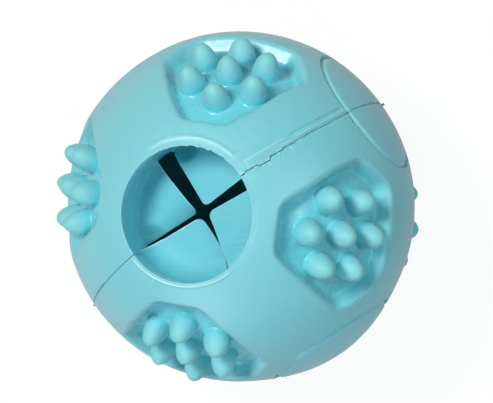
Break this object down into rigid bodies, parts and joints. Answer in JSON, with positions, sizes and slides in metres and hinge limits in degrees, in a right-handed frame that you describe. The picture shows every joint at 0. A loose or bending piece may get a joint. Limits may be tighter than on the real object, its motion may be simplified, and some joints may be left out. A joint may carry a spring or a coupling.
{
  "type": "dental treat ball",
  "caption": "Hollow rubber treat ball with nubbed tooth-cleaning pockets, ring lines and a slit petal valve sunk in a round mouth.",
  "frame": {"origin": "centre of the ball", "axes": "+Z out of the mouth along its axis, +Y into the rear half shell, square to the seam, +X along the seam"},
  "size_m": [0.0756, 0.075, 0.0729],
  "materials": {
    "shell_rubber": "satin moulded natural rubber, turquoise",
    "seam_rubber": "trimmed moulding flash, turquoise",
    "valve_rubber": "smooth moulded natural rubber, turquoise"
  },
  "bodies": {
    "shell": {"half_shell_rear": "shell_rubber", "half_shell_front": "shell_rubber", "seam_bond": "seam_rubber"},
    "rear_right_petal": {"petal_rear_right": "valve_rubber"},
    "rear_left_petal": {"petal_rear_left": "valve_rubber"},
    "front_left_petal": {"petal_front_left": "valve_rubber"},
    "front_right_petal": {"petal_front_right": "valve_rubber"}
  },
  "joints": [
    {"name": "rear_right_bend", "type": "hinge", "parent": "shell", "child": "rear_right_petal", "pos_m": [0.00644, 0.00644, 0.02333], "axis": [-0.7071, 0.7071, 0], "range_deg": [-80, 50], "stiffness_Nm_per_rad": 0.008},
    {"name": "rear_left_bend", "type": "hinge", "parent": "shell", "child": "rear_left_petal", "pos_m": [-0.00644, 0.00644, 0.02333], "axis": [-0.7071, -0.7071, 0], "range_deg": [-80, 50], "stiffness_Nm_per_rad": 0.008},
    {"name": "front_left_bend", "type": "hinge", "parent": "shell", "child": "front_left_petal", "pos_m": [-0.00644, -0.00644, 0.02333], "axis": [0.7071, -0.7071, 0], "range_deg": [-80, 50], "stiffness_Nm_per_rad": 0.008},
    {"name": "front_right_bend", "type": "hinge", "parent": "shell", "child": "front_right_petal", "pos_m": [0.00644, -0.00644, 0.02333], "axis": [0.7071, 0.7071, 0], "range_deg": [-80, 50], "stiffness_Nm_per_rad": 0.008}
  ]
}
